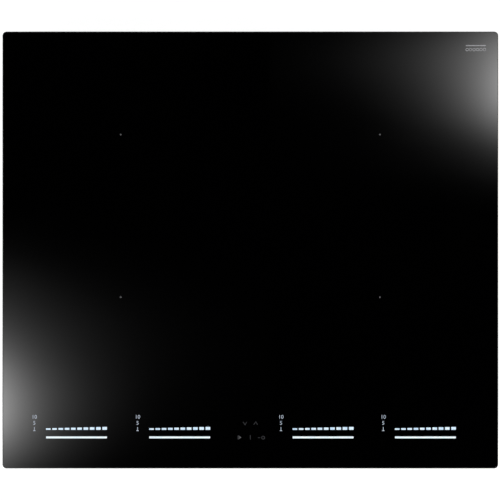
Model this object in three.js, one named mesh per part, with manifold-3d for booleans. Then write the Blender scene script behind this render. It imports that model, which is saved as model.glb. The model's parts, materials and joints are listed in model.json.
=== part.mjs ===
// A built-in induction hob with four cooking zones, as a three.js scene graph.
//
// Millimetres, +Z up. X runs across the hob and the cook stands at -Y. The origin is under the
// middle of the casing, on the plane that the casing's floor stands on. The glass rests on the
// worktop by its seal, and everything below the seal hangs inside the worktop's cut-out.

import * as THREE from 'three';
import { mergeVertices } from 'three/addons/utils/BufferGeometryUtils.js';
import Module from 'manifold-3d';

const wasm = await Module();
wasm.setup();

// ---------------------------------------------------------------- driving dimensions

const GLASS = { width: 590, depth: 520, thickness: 4, corner: 5, chamfer: 0.8 };
const CUT_OUT = { width: 560, depth: 490 }; // the hole in the worktop that the hob hangs in
const WORKTOP_Z = 50; // height of the worktop's surface above the casing's floor
const GLASS_Z = WORKTOP_Z + 2; // underside of the glass
const SEAL = { thickness: 1.9, width: 10, inset: 2, corner: 8 };
const BEAD = { outer: 276, inner: 269, rear: 241.5, innerRear: 235, corner: 7 };

const SHEET = 1; // steel sheet of the casing
const TRAY = { width: CUT_OUT.width - 8, depth: CUT_OUT.depth - 8, height: WORKTOP_Z - 0.2 };
const BAY = { depth: 22, near: 118, far: 176 }; // pockets in the side walls for the clamps
const FRAME = { width: CUT_OUT.width - 4, depth: CUT_OUT.depth - 4, corner: 8, sheet: 1.2, skirt: 12 };
const FRAME_GAP = 0.3; // between the frame's skirt and the casing's wall

const ZONE = { x: 154.2, front: -56.1, rear: 137.3 }; // centres of the cooking zones
const COIL = { width: 184, depth: 178, corner: 63, band: 70 }; // a winding, and how wide its band is
const LAYER = { // heights of the layers under the glass, from the coils' table up
  table: [36.2, 37.7],
  ferrite: [38, 42],
  dish: [42.2, 43.8],
  winding: [43.95, 47.95],
  mica: [48.2, 48.8],
};
const SLIDER = {
  y: -222.9, length: 72.4, bar: 2.4, foot: 9, // the bar, and how far above its middle the steps start
  steps: 10, pitch: 7.45, step: 5.5, low: 1.85, high: 3.5, // the steps, and the heights of the first and last
};
const SLIDER_X = [-206.8, -84, 86.5, 208.2]; // middle of each slider, left to right
const MODULE = { x: 132, y: -47, width: 232, depth: 250 }; // the two power modules
const BLOWER_Y = 168; // axis of each blower, behind its power module
const CABLE_Z = 14; // height of the mains lead through the rear wall
const BOARD_Z = [6, 7.6]; // every board at the bottom of the casing
const PIVOT = { x: 266, y: 130 }; // axis of each worktop clamp's screw

const PLUS = 4; // how far a cutting tool runs past the face it cuts

// ---------------------------------------------------------------- materials

function metal(color, roughness) {
  return new THREE.MeshStandardMaterial({ color, roughness, metalness: 1 });
}

function plain(color, roughness) {
  return new THREE.MeshStandardMaterial({ color, roughness, metalness: 0 });
}

const blackGlass = plain(0x050506, 0.06);
const foam = plain(0x1b1b1c, 0.95);
const silicone = plain(0x2a2a2b, 0.6);
const galvanised = metal(0xb4b8ba, 0.42);
const aluminium = metal(0xc9cbcc, 0.35);
const copper = metal(0xb8693c, 0.4);
const ferrite = plain(0x2b2a2c, 0.7);
const mica = plain(0xcfc6ae, 0.6);
const blackPlastic = plain(0x161617, 0.55);
const whitePlastic = plain(0xe4e6e6, 0.45);
const greyPlastic = plain(0x6d7073, 0.55);
const boardGreen = plain(0x1e5a34, 0.45);
const boardTan = plain(0xa8864c, 0.5);
const zincSteel = metal(0xc2c5c7, 0.3);

// ---------------------------------------------------------------- shapes

// A box between two corners.
function block(x0, x1, y0, y1, z0, z1) {
  const box = new THREE.BoxGeometry(x1 - x0, y1 - y0, z1 - z0);
  return box.translate((x0 + x1) / 2, (y0 + y1) / 2, (z0 + z1) / 2);
}

// An upright cylinder.
function post(radius, z0, z1, x = 0, y = 0, sides = 12) {
  const round = new THREE.CylinderGeometry(radius, radius, z1 - z0, sides);
  return round.rotateX(Math.PI / 2).translate(x, y, (z0 + z1) / 2);
}

// A cylinder along Y.
function barrelY(radius, y0, y1, x, z, sides = 12) {
  const round = new THREE.CylinderGeometry(radius, radius, y1 - y0, sides);
  return round.translate(x, (y0 + y1) / 2, z);
}

// A cylinder along X.
function barrelX(radius, x0, x1, y, z, sides = 12) {
  const round = new THREE.CylinderGeometry(radius, radius, x1 - x0, sides);
  return round.rotateZ(Math.PI / 2).translate((x0 + x1) / 2, y, z);
}

// A flat outline raised from z0 to z1. Each quarter of an arc gets twice curveSegments edges.
function prism(shape, z0, z1, curveSegments = 2) {
  const options = { depth: z1 - z0, bevelEnabled: false, curveSegments };
  return new THREE.ExtrudeGeometry(shape, options).translate(0, 0, z0);
}

function polygon(points) {
  return new THREE.Shape(points.map(([x, y]) => new THREE.Vector2(x, y)));
}

// A rectangle with round corners.
function roundedRect(width, depth, radius, x = 0, y = 0) {
  const [w, d, r] = [width / 2, depth / 2, radius];
  const shape = new THREE.Shape();
  shape.moveTo(x - w + r, y - d);
  shape.absarc(x + w - r, y - d + r, r, -Math.PI / 2, 0);
  shape.absarc(x + w - r, y + d - r, r, 0, Math.PI / 2);
  shape.absarc(x - w + r, y + d - r, r, Math.PI / 2, Math.PI);
  shape.absarc(x - w + r, y - d + r, r, Math.PI, Math.PI * 1.5);
  return shape;
}

// A round outline is a rounded square that is all corners.
function circle(radius, x = 0, y = 0) {
  return roundedRect(radius * 2, radius * 2, radius, x, y);
}

// The same outline with holes in it.
function withHoles(shape, ...holes) {
  shape.holes.push(...holes);
  return shape;
}

// A profile of [radius, height] points turned about the Z axis.
function turned(profile, sides = 16) {
  const points = profile.map(([r, z]) => new THREE.Vector2(r, z));
  return new THREE.LatheGeometry(points, sides).rotateX(Math.PI / 2);
}

// ---------------------------------------------------------------- joins and cuts

function solidOf(geometry) {
  const bare = geometry.index ? geometry.toNonIndexed() : geometry.clone();
  bare.deleteAttribute('normal');
  bare.deleteAttribute('uv');
  const merged = mergeVertices(bare, 1e-4);
  return new wasm.Manifold(new wasm.Mesh({
    numProp: 3,
    vertProperties: merged.attributes.position.array,
    triVerts: new Uint32Array(merged.index.array),
  }));
}

function geometryOf(solid) {
  const mesh = solid.getMesh();
  const geometry = new THREE.BufferGeometry();
  const positions = Float32Array.from(mesh.vertProperties);
  geometry.setAttribute('position', new THREE.BufferAttribute(positions, 3));
  geometry.setIndex(new THREE.BufferAttribute(Uint32Array.from(mesh.triVerts), 1));
  geometry.computeVertexNormals();
  return geometry;
}

function join(...geometries) {
  return geometryOf(geometries.map(solidOf).reduce((all, next) => all.add(next)));
}

function cut(geometry, ...tools) {
  return geometryOf(tools.map(solidOf).reduce((left, next) => left.subtract(next), solidOf(geometry)));
}

function piece(name, geometry, material) {
  const mesh = new THREE.Mesh(geometry, material);
  mesh.name = name;
  return mesh;
}

// Numbers spaced evenly about zero.
function row(count, pitch) {
  return Array.from({ length: count }, (_, i) => (i - (count - 1) / 2) * pitch);
}

// ---------------------------------------------------------------- glass and what seals it

// The ceramic glass, with its top and bottom edges ground to a small chamfer.
function glassPlate() {
  const { width, depth, thickness, corner, chamfer } = GLASS;
  const core = roundedRect(width - 2 * chamfer, depth - 2 * chamfer, corner - chamfer);
  const geometry = new THREE.ExtrudeGeometry(core, {
    depth: thickness - 2 * chamfer,
    bevelThickness: chamfer,
    bevelSize: chamfer,
    bevelSegments: 1,
    curveSegments: 6,
  });
  geometry.translate(0, 0, GLASS_Z + chamfer);
  return piece('glass_plate', join(geometry), blackGlass);
}

// The foam tape under the rim of the glass, which lies on the worktop.
function worktopSeal() {
  const width = GLASS.width - 2 * SEAL.inset;
  const depth = GLASS.depth - 2 * SEAL.inset;
  const hole = roundedRect(width - 2 * SEAL.width, depth - 2 * SEAL.width, 3);
  const ring = withHoles(roundedRect(width, depth, SEAL.corner), hole);
  return piece('worktop_seal', prism(ring, WORKTOP_Z, WORKTOP_Z + SEAL.thickness), foam);
}

// The silicone bead that holds the glass on its frame.
function adhesiveBead() {
  const { outer, inner, rear, innerRear, corner } = BEAD;
  const hole = roundedRect(inner * 2, innerRear * 2, corner / 2);
  const ring = withHoles(roundedRect(outer * 2, rear * 2, corner), hole);
  return piece('adhesive_bead', prism(ring, WORKTOP_Z + FRAME.sheet + 0.1, GLASS_Z - 0.1), silicone);
}

// ---------------------------------------------------------------- sheet-metal casing

// The casing's outline seen from above, moved inwards by inset. Each side wall steps in at two
// bays, which hold the worktop clamps.
function casingOutline(inset) {
  const [w, d] = [TRAY.width / 2 - inset, TRAY.depth / 2 - inset];
  const bay = TRAY.width / 2 - BAY.depth - inset;
  const [near, far] = [BAY.near - inset, BAY.far + inset];
  const side = [[w, -d], [w, -far], [bay, -far], [bay, -near], [w, -near],
    [w, near], [bay, near], [bay, far], [w, far], [w, d]];
  return polygon([...side, ...side.map(([x, y]) => [-x, -y])]);
}

// The frame glued under the glass: a flange, and a skirt that sits inside the casing's walls.
function topFrame() {
  const top = WORKTOP_Z + FRAME.sheet;
  const outer = SHEET + FRAME_GAP;
  const flange = prism(roundedRect(FRAME.width, FRAME.depth, FRAME.corner), WORKTOP_Z, top);
  const overCoils = block(-248, 248, -232, 232, WORKTOP_Z - PLUS, top + PLUS);
  const overControls = block(-267, 267, -234, -187, WORKTOP_Z - PLUS, top + PLUS);
  const bottom = WORKTOP_Z - FRAME.skirt;
  const skirt = prism(casingOutline(outer), bottom, WORKTOP_Z + FRAME.sheet / 2);
  const inside = prism(casingOutline(outer + FRAME.sheet), bottom - PLUS, top + PLUS);
  const holes = clampPlaces().map(({ x, y }) => post(2.8, bottom, top + PLUS, x, y));
  const ring = cut(flange, overCoils, overControls, ...holes);
  return piece('top_frame', join(ring, cut(skirt, inside)), galvanised);
}

// Slots cut through the floor in a round field, which let air into a blower.
function intakeSlots(x, y) {
  const [radius, pitch, slot] = [28, 8, 4];
  return row(7, pitch).map((offset) => {
    const half = Math.sqrt(radius ** 2 - offset ** 2);
    return block(x - half, x + half, y + offset - slot / 2, y + offset + slot / 2, -PLUS, PLUS);
  });
}

// Slots through the floor and the walls, where the warm air leaves.
function exhaustSlots() {
  const [w, d, slot] = [TRAY.width / 2, TRAY.depth / 2, 4];
  const through = (middle, size) => [middle - size / 2, middle + size / 2];
  const slots = [];
  for (const side of [-1, 1]) {
    for (const offset of row(9, 16)) {
      const x = side * MODULE.x + offset;
      slots.push(block(...through(x, slot), -231, -207, -PLUS, PLUS));
      slots.push(block(...through(x, slot), -d - PLUS, -d + PLUS, 10, 28));
    }
    for (const offset of row(6, 16)) {
      slots.push(block(...through(side * MODULE.x + offset, slot), d - PLUS, d + PLUS, 10, 28));
    }
    for (const y of row(7, 26)) {
      slots.push(block(...through(side * w, 2 * PLUS), ...through(y, slot), 12, 32));
    }
  }
  return slots;
}

// Shallow channels pressed into the floor, which stiffen it.
function swages() {
  const [length, width, deep] = [168, 8, 0.4];
  return [-1, 1].flatMap((side) => row(4, 56).map((y) => (
    prism(roundedRect(length, width, width / 2, side * MODULE.x, MODULE.y + y), -PLUS, deep, 1))));
}

// The deep steel tray that closes the hob from below.
function baseTray() {
  const { height } = TRAY;
  const shell = cut(
    prism(casingOutline(0), 0, height),
    prism(casingOutline(SHEET), SHEET, height + PLUS),
  );
  const standoffs = [-1, 1].flatMap((side) => (
    [94, 160].map((y) => post(4, SHEET / 2, BOARD_Z[0] - 0.2, side * 56, y))));
  const openings = [
    block(-45, 45, 176, 230, -PLUS, PLUS),
    barrelY(9.5, TRAY.depth / 2 - PLUS, TRAY.depth / 2 + PLUS, 0, CABLE_Z, 20),
    ...intakeSlots(-MODULE.x, BLOWER_Y),
    ...intakeSlots(MODULE.x, BLOWER_Y),
    ...exhaustSlots(),
    ...swages(),
  ];
  return piece('base_tray', cut(join(shell, ...standoffs), ...openings), galvanised);
}

// ---------------------------------------------------------------- coils

// A folded aluminium table over one power module, which carries two coils.
function coilSupport(name, side) {
  const [z0, z1] = LAYER.table;
  const [inner, outer, front, rear, innerRear, sheet] = [8, 250, -158, 236, 80, 1.2];
  const across = (a, b) => [Math.min(side * a, side * b), Math.max(side * a, side * b)];
  const plate = block(...across(inner, outer), front, rear, z0, z1);
  const innerWall = block(...across(inner, inner + sheet), front, innerRear, 1.2, z0 + 0.5);
  const outerWall = block(...across(outer - sheet, outer), front, rear, 1.2, z0 + 0.5);
  const windows = [-110, -30].map((y) => block(...across(inner - PLUS, inner + PLUS), y, y + 50, 8, 30));
  windows.push(...[-130, -50, 30, 110].map((y) => (
    block(...across(outer - PLUS, outer + PLUS), y, y + 50, 8, 30))));
  const leadHoles = [ZONE.front, ZONE.rear].map((y) => (
    block(...across(ZONE.x - 48, ZONE.x - 30), y - 14, y + 14, z0 - PLUS, z1 + PLUS)));
  const table = join(plate, innerWall, outerWall);
  return piece(name, cut(table, ...windows, ...leadHoles), aluminium);
}

// The ferrite bars under a coil, drawn as one star of rays that meet at a ring round the sensor.
function ferriteBars(name) {
  const [reach, half, bars] = [82, 4.5, 8];
  const crook = half / Math.sin(Math.PI / bars); // where the sides of two neighbours meet
  const points = [];
  for (let i = 0; i < bars; i += 1) {
    const angle = (i / bars) * Math.PI * 2;
    const [c, s] = [Math.cos(angle), Math.sin(angle)];
    points.push([reach * c + half * s, reach * s - half * c], [reach * c - half * s, reach * s + half * c]);
    points.push([crook * Math.cos(angle + Math.PI / bars), crook * Math.sin(angle + Math.PI / bars)]);
  }
  return piece(name, prism(withHoles(polygon(points), circle(9.6)), ...LAYER.ferrite), ferrite);
}

// The plastic dish that a coil is wound on, with feet that stand between the ferrite bars.
function coilCarrier(name) {
  const { width, depth, corner } = COIL;
  const [bottom, floor] = LAYER.dish;
  const rim = LAYER.winding[1] - 0.3;
  const outline = (grow) => roundedRect(width + 2 * grow, depth + 2 * grow, corner + grow);
  const dish = cut(prism(outline(3), bottom, rim), prism(outline(1.5), floor, rim + PLUS));
  const hub = post(14, floor - 0.5, rim);
  const feet = Array.from({ length: 4 }, (_, i) => {
    const angle = Math.PI / 8 + (i * Math.PI) / 2;
    const [x, y] = [76 * Math.cos(angle), 76 * Math.sin(angle)];
    return post(3.5, LAYER.table[1] + 0.1, bottom + 0.5, x, y, 6);
  });
  const bore = post(12, bottom - PLUS, rim + PLUS);
  return piece(name, cut(join(dish, hub, ...feet), bore), whitePlastic);
}

// The flat winding, as the closed band that its turns of stranded wire fill.
function coilWinding(name) {
  const { width, depth, corner, band } = COIL;
  const eye = roundedRect(width - 2 * band, depth - 2 * band, 17);
  const shape = withHoles(roundedRect(width, depth, corner), eye);
  return piece(name, prism(shape, ...LAYER.winding, 3), copper);
}

// The temperature sensor that stands in the eye of a coil and touches the glass.
function temperatureSensor(name) {
  const profile = [[0, 37.8], [9, 37.8], [9, 39.4], [4, 39.4], [4, 49], [6.5, 49.6], [6.5, 51.8],
    [0, 51.8]];
  return piece(name, turned(profile, 12), silicone);
}

function coilUnit(place, x, y) {
  const unit = new THREE.Group();
  unit.position.set(x, y, 0);
  unit.add(
    ferriteBars(`ferrite_bars_${place}`),
    coilCarrier(`coil_carrier_${place}`),
    coilWinding(`coil_winding_${place}`),
    temperatureSensor(`temperature_sensor_${place}`),
  );
  return unit;
}

// The mica sheet that insulates two coils from the glass.
function micaSheet(name, side) {
  const middle = (ZONE.front + ZONE.rear) / 2;
  const x = side * ZONE.x;
  const holes = [circle(9, x, ZONE.front), circle(9, x, ZONE.rear)];
  const sheet = withHoles(roundedRect(192, 382, 60, x, middle), ...holes);
  return piece(name, prism(sheet, ...LAYER.mica), mica);
}

// ---------------------------------------------------------------- power modules

const HEAT_SINK = { x: 29, width: 60, length: 224, bottom: 8.4, base: 4, top: 34, fins: 11, fin: 1.5 };

// The plastic tray that insulates a power board from the casing.
function boardCarrier(name) {
  const [w, d, rim] = [MODULE.width / 2, MODULE.depth / 2, 1.6];
  const tray = cut(
    block(-w, w, -d, d, 1.2, 10),
    block(-w + rim, w - rim, -d + rim, d - rim, 3, 10 + PLUS),
    block(-20, 80, -d - PLUS, d + PLUS, 5.6, 10 + PLUS),
  );
  const posts = [-1, 1].flatMap((side) => (
    row(3, 108).map((y) => post(4, 2.5, BOARD_Z[0] - 0.2, side * 104, y, 8))));
  return piece(name, join(tray, ...posts), blackPlastic);
}

// The printed circuit board of a power module, with notches for its connectors.
function powerBoard(name) {
  const [w, d] = [112, 120];
  const notches = [block(-w - PLUS, -w + 6, 20, 48, 0, 10), block(-60, -30, d - 5, d + PLUS, 0, 10)];
  return piece(name, cut(block(-w, w, -d, d, ...BOARD_Z), ...notches), boardGreen);
}

// The extruded heat sink, whose fins run with the air from the blower.
function heatSink(name) {
  const { x, width, length, bottom, base, top, fins, fin } = HEAT_SINK;
  const outline = [[-width / 2, bottom], [width / 2, bottom]];
  for (const middle of row(fins, (width - fin) / (fins - 1)).reverse()) {
    outline.push([middle + fin / 2, top], [middle - fin / 2, top]);
    if (middle - fin > -width / 2) {
      outline.push([middle - fin / 2, bottom + base]);
      outline.push([middle + fin / 2 - (width - fin) / (fins - 1), bottom + base]);
    }
  }
  const bar = prism(polygon(outline), 0, length).rotateX(Math.PI / 2);
  return piece(name, bar.translate(x, length / 2, 0), aluminium);
}

// ---------------------------------------------------------------- blowers

const SCROLL = { start: 41, end: 60, wall: 1.6, bottom: 1.2, top: 33.2, mouth: 6, outlet: -84 };

// The scroll seen from above: a spiral that widens clockwise, and then a straight outlet.
function scrollOutline(grow, outlet) {
  const { start, end, mouth } = SCROLL;
  const steps = 20;
  const tongue = Math.asin((mouth - grow) / start);
  const points = [];
  for (let i = 0; i <= steps; i += 1) {
    const angle = -tongue + (i / steps) * (Math.PI * 1.5 + tongue);
    const radius = start + grow + ((end - start) * Math.max(angle, 0)) / (Math.PI * 1.5);
    points.push([-radius * Math.sin(angle), -radius * Math.cos(angle)]);
  }
  return polygon([...points, [end + grow, outlet], [mouth - grow, outlet]]);
}

// The blower's housing, open at its inlet below and at its outlet, with the motor's fixed core.
function blowerHousing(name) {
  const { wall, bottom, top, outlet } = SCROLL;
  const hollow = cut(
    prism(scrollOutline(wall, outlet), bottom, top),
    prism(scrollOutline(0, outlet - PLUS), bottom + wall, top - wall),
    post(26, bottom - PLUS, bottom + PLUS, 0, 0, 24),
  );
  return piece(name, join(hollow, post(11.5, 22, top - 0.5, 0, 0, 16)), blackPlastic);
}

// One forward-curved blade: a thin strip along an arc, upright between the two rings.
function blade(angle) {
  const [inner, outer, sweep, thick, steps] = [29.5, 35.6, 0.2, 1.1, 2];
  const line = Array.from({ length: steps + 1 }, (_, i) => {
    const t = i / steps;
    return [inner + (outer - inner) * t, angle - sweep * t * t];
  });
  const edge = (side) => line.map(([r, a]) => {
    const turn = a + (side * thick) / 2 / r;
    return [r * Math.cos(turn), r * Math.sin(turn)];
  });
  return prism(polygon([...edge(-1), ...edge(1).reverse()]), 5.5, 28);
}

// The impeller: a cup that turns round the motor's core, a back plate, blades and a front ring.
function impeller(name) {
  const hub = turned([[0, 19], [16, 19], [16, 27.4], [36, 27.4], [36, 29], [13.2, 29], [13.2, 20.5],
    [0, 20.5]], 24);
  const ring = turned([[29, 5], [36, 5], [36, 6.5], [29, 6.5], [29, 5]], 24);
  const blades = Array.from({ length: 18 }, (_, i) => blade((i / 18) * Math.PI * 2));
  return piece(name, join(hub, ring, ...blades), greyPlastic);
}

function powerModule(place, side) {
  const board = new THREE.Group();
  board.position.set(side * MODULE.x, MODULE.y, 0);
  board.add(
    boardCarrier(`board_carrier_${place}`),
    powerBoard(`power_board_${place}`),
    heatSink(`heat_sink_${place}`),
  );
  const blower = new THREE.Group();
  blower.position.set(side * MODULE.x, BLOWER_Y, 0);
  blower.add(blowerHousing(`blower_housing_${place}`), impeller(`blower_impeller_${place}`));
  const group = new THREE.Group();
  group.add(board, blower);
  return group;
}

// ---------------------------------------------------------------- mains connection

const HINGE = { y: 181, z: 3.4, pin: 1.45 }; // axis of the terminal cover

// The board that filters the mains supply.
function filterBoard() {
  return piece('filter_board', block(-64, 64, 88, 166, ...BOARD_Z), boardTan);
}

// The plastic box round the terminals, open to the floor, where the cover closes it.
function terminalBox() {
  const box = cut(
    block(-50, 50, 172, 236, 1.2, 30),
    block(-48, 48, 174, 234, 1.2 - PLUS, 28),
    barrelY(7.5, 232, 238, 0, CABLE_Z, 16),
    block(-30, 30, 171, 175, 10, 24),
  );
  const clampPosts = [-15, 15].map((x) => post(4, 9, 28.5, x, 225, 8));
  const ears = [-1, 1].map((side) => {
    const [a, b] = [side * 45.3, side * 48.5].sort((p, q) => p - q);
    return block(a, b, 177.6, 184.4, 1.5, 7);
  });
  const pinHoles = barrelX(HINGE.pin + 0.3, -48, 48, HINGE.y, HINGE.z);
  return piece('terminal_box', cut(join(box, ...clampPosts, ...ears), pinHoles), blackPlastic);
}

// The terminal block, with its wire entries to the rear and its screws reached from below.
function terminalBlock() {
  const body = block(-36, 36, 184, 204, 12, 27.7);
  const poles = row(6, 12).flatMap((x) => [
    block(x - 2.8, x + 2.8, 192, 204 + PLUS, 16.5, 22),
    post(2.6, 12 - PLUS, 16, x, 197, 8),
  ]);
  const grooves = row(5, 12).map((x) => block(x - 0.6, x + 0.6, 201, 204 + PLUS, 10, 26));
  return piece('terminal_block', cut(body, ...poles, ...grooves), whitePlastic);
}

// The cover over the terminals. It hinges on two pins and swings down below the floor.
function terminalCover() {
  const plate = block(-44.4, 44.4, 179, 229.4, 0.2, 2.2);
  const knuckle = barrelX(2.2, -44.4, 44.4, HINGE.y, HINGE.z);
  const pins = barrelX(HINGE.pin, -47.6, 47.6, HINGE.y, HINGE.z);
  const rib = block(-40, 40, 212, 213.6, 2, 4.2);
  const thumb = block(-9, 9, 226.4, 229.4 + PLUS, 0.2 - PLUS, 1.2);
  return piece('terminal_cover', cut(join(plate, knuckle, pins, rib), thumb), blackPlastic);
}

// The rubber grommet that the mains lead enters through, snapped into the rear wall.
function cableGrommet() {
  const profile = [[7, -3.5], [12, -3.5], [12, -0.8], [9.2, -0.8], [9.2, 0.8], [12, 0.8], [12, 3.5],
    [7, 3.5], [7, -3.5]];
  const points = profile.map(([r, along]) => new THREE.Vector2(r, along));
  const mesh = piece('cable_grommet', new THREE.LatheGeometry(points, 16), blackPlastic);
  mesh.position.set(0, TRAY.depth / 2 - SHEET / 2, CABLE_Z);
  return mesh;
}

// The bar that clamps the mains lead, with its two screws.
function cableClamp() {
  const bar = block(-21, 21, 221, 229, 4.8, 8.7);
  const screws = [-15, 15].map((x) => post(3.2, 3.2, 5, x, 225));
  return piece('cable_clamp', join(bar, ...screws), greyPlastic);
}

// ---------------------------------------------------------------- touch control

// The plastic beam that holds the control board up against the glass.
function controlCarrier() {
  const trough = cut(block(-262, 262, -237, -190, 41, 46), block(-260, 260, -235, -192, 43, 46 + PLUS));
  const legs = row(5, 126).map((x) => post(5, 1.2, 41.5, x, -197, 8));
  return piece('control_carrier', join(trough, ...legs), blackPlastic);
}

function controlBoard() {
  return piece('control_board', block(-261, 261, -236, -191, 46.2, 47.8), boardGreen);
}

// The flat cable from the left power board to the control board, with a plug at its lower end.
function ribbonCable() {
  const [left, right] = [-146, -134];
  const [start, rise, end] = [-162, -179, -190.5]; // along Y: at its plug, where it climbs, at the board
  const [low, high, bend, thick] = [8.4, 46.6, 3, 0.8];
  const line = new THREE.Shape();
  line.moveTo(start, low);
  line.absarc(rise + bend, low + bend, bend, -Math.PI / 2, -Math.PI, true);
  line.absarc(rise - bend, high - bend, bend, 0, Math.PI / 2);
  line.lineTo(end, high);
  line.lineTo(end, high + thick);
  line.absarc(rise - bend, high - bend, bend + thick, Math.PI / 2, 0, true);
  line.absarc(rise + bend, low + bend, bend - thick, -Math.PI, -Math.PI / 2);
  line.lineTo(start, low + thick);
  const cable = prism(line, left, right).applyMatrix4(new THREE.Matrix4().set(
    0, 0, 1, 0,
    1, 0, 0, 0,
    0, 1, 0, 0,
    0, 0, 0, 1,
  ));
  const plug = block(left - 1.5, right + 1.5, start - 4, start + 3, BOARD_Z[1] + 0.2, low + 4);
  return piece('ribbon_cable', join(cable, plug), greyPlastic);
}

// The white light guide of one slider: a bar, ten steps that grow, and a column for three figures.
function lightGuide(number, x) {
  const { y, length, bar, foot, steps, pitch, step, low, high } = SLIDER;
  const [z0, web, z1] = [48.1, 49.3, 51.7];
  const risers = row(steps, pitch).map((middle, i) => {
    const rise = low + ((high - low) * i) / (steps - 1);
    return block(middle - step / 2, middle + step / 2, y + foot, y + foot + rise, web - 0.5, z1);
  });
  const barRiser = block(-length / 2, length / 2, y - bar / 2, y + bar / 2, web - 0.5, z1);
  const figures = block(-53, -46.4, y + 7, y + 27, web - 0.5, z1);
  const base = block(-56, 40, y - 6, y + 29, z0, web);
  const mesh = piece(`light_guide_${number}`, join(base, barRiser, figures, ...risers), whitePlastic);
  mesh.position.x = x;
  return mesh;
}

// ---------------------------------------------------------------- worktop clamps

// The four clamps, by where they are. turn points the stowed arm away from the hob's middle line.
function clampPlaces() {
  return [
    { place: 'front_left', x: -PIVOT.x, y: -PIVOT.y, turn: Math.PI },
    { place: 'front_right', x: PIVOT.x, y: -PIVOT.y, turn: Math.PI },
    { place: 'rear_left', x: -PIVOT.x, y: PIVOT.y, turn: 0 },
    { place: 'rear_right', x: PIVOT.x, y: PIVOT.y, turn: 0 },
  ];
}

// The long screw, held by the frame's flange and turned from below.
function clampScrew(name) {
  const slots = [block(-2.6, 2.6, -0.6, 0.6, -PLUS, 1.7), block(-0.6, 0.6, -2.6, 2.6, -PLUS, 1.7)];
  const head = cut(post(4.6, 0.5, 3.1), ...slots);
  return piece(name, join(head, post(2.5, 3, 51), post(4.4, 48.4, 49.8)), zincSteel);
}

// The long nut that climbs the screw. It can't turn, because the bay's wall is beside its end.
function clampNut(name) {
  return piece(name, cut(block(-11.2, 11.2, -6, 6, 3.4, 6.4), post(2.8, 0, 10)), zincSteel);
}

// The steel arm that swings out under the worktop, with teeth at its tip.
function clampArm(name) {
  const [z0, z1, tip, width, length] = [6.6, 8.4, 11.2, 16, 42];
  const outline = new THREE.Shape();
  outline.moveTo(width / 2, 0);
  outline.lineTo(width / 2, length);
  outline.lineTo(-width / 2, length);
  outline.absarc(0, 0, width / 2, Math.PI, Math.PI * 2);
  const tab = block(-width / 2, width / 2, length - 1.8, length, z1 - 0.4, tip);
  const notches = [-4, 0, 4].map((x) => block(x - 1, x + 1, length - 3, length + 1, tip - 1.2, tip + 1));
  return piece(name, cut(join(prism(outline, z0, z1), tab), ...notches, post(2.8, 0, 12)), zincSteel);
}

function worktopClamp({ place, x, y, turn }) {
  const clamp = new THREE.Group();
  clamp.position.set(x, y, 0);
  clamp.rotation.z = turn;
  clamp.add(
    clampScrew(`clamp_screw_${place}`),
    clampNut(`clamp_nut_${place}`),
    clampArm(`clamp_arm_${place}`),
  );
  return clamp;
}

// ---------------------------------------------------------------- the hob

const hob = new THREE.Group();
hob.add(glassPlate(), worktopSeal(), adhesiveBead(), topFrame(), baseTray());
for (const [word, side] of [['left', -1], ['right', 1]]) {
  hob.add(coilSupport(`coil_support_${word}`, side));
  hob.add(micaSheet(`mica_sheet_${word}`, side));
  hob.add(powerModule(word, side));
  hob.add(coilUnit(`front_${word}`, side * ZONE.x, ZONE.front));
  hob.add(coilUnit(`rear_${word}`, side * ZONE.x, ZONE.rear));
}
hob.add(filterBoard(), terminalBox(), terminalBlock(), terminalCover(), cableGrommet(), cableClamp());
hob.add(controlCarrier(), controlBoard(), ribbonCable());
SLIDER_X.forEach((x, i) => hob.add(lightGuide(i + 1, x)));
hob.add(...clampPlaces().map(worktopClamp));

export default hob;
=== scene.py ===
"""The looks of a built-in induction hob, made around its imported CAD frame. Metres, +Z up."""

import json
from functools import reduce
from math import atan2, cos, pi, radians, sin, tau
from random import Random

import bmesh
import bpy
from mathutils import Matrix, Vector


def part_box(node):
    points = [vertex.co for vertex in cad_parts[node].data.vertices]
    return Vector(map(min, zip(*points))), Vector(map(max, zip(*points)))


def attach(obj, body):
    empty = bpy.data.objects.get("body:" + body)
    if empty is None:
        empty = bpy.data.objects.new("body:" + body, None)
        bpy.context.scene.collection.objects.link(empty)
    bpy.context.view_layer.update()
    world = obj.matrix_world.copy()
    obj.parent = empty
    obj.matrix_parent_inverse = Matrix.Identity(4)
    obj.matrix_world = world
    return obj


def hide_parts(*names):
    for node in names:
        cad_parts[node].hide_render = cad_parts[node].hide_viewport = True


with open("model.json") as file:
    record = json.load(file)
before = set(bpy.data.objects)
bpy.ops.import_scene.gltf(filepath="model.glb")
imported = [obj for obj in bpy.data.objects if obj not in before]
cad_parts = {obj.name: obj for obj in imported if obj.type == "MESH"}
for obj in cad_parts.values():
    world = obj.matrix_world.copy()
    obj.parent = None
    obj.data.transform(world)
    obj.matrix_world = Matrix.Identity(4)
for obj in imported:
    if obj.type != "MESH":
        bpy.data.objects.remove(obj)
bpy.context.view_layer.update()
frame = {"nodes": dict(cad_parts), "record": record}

MM = 0.001
GLASS_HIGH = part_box("glass_plate")[1]
TOP = GLASS_HIGH.z
CORNERS = ("front_left", "front_right", "rear_left", "rear_right")
SIDES = ("left", "right")
BODY_OF = {node: body for body, nodes in frame["record"]["behaviour"]["bodies"].items() for node in nodes}
SLOT_OF = {part["node"]: part["material_slot"] for part in frame["record"]["subparts"]}


# ---- shader nodes

def tune(thing, **options):
    for name, value in options.items():
        setattr(thing, name, value)
    return thing


def grey(value):
    return (value, value, value, 1)


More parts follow.
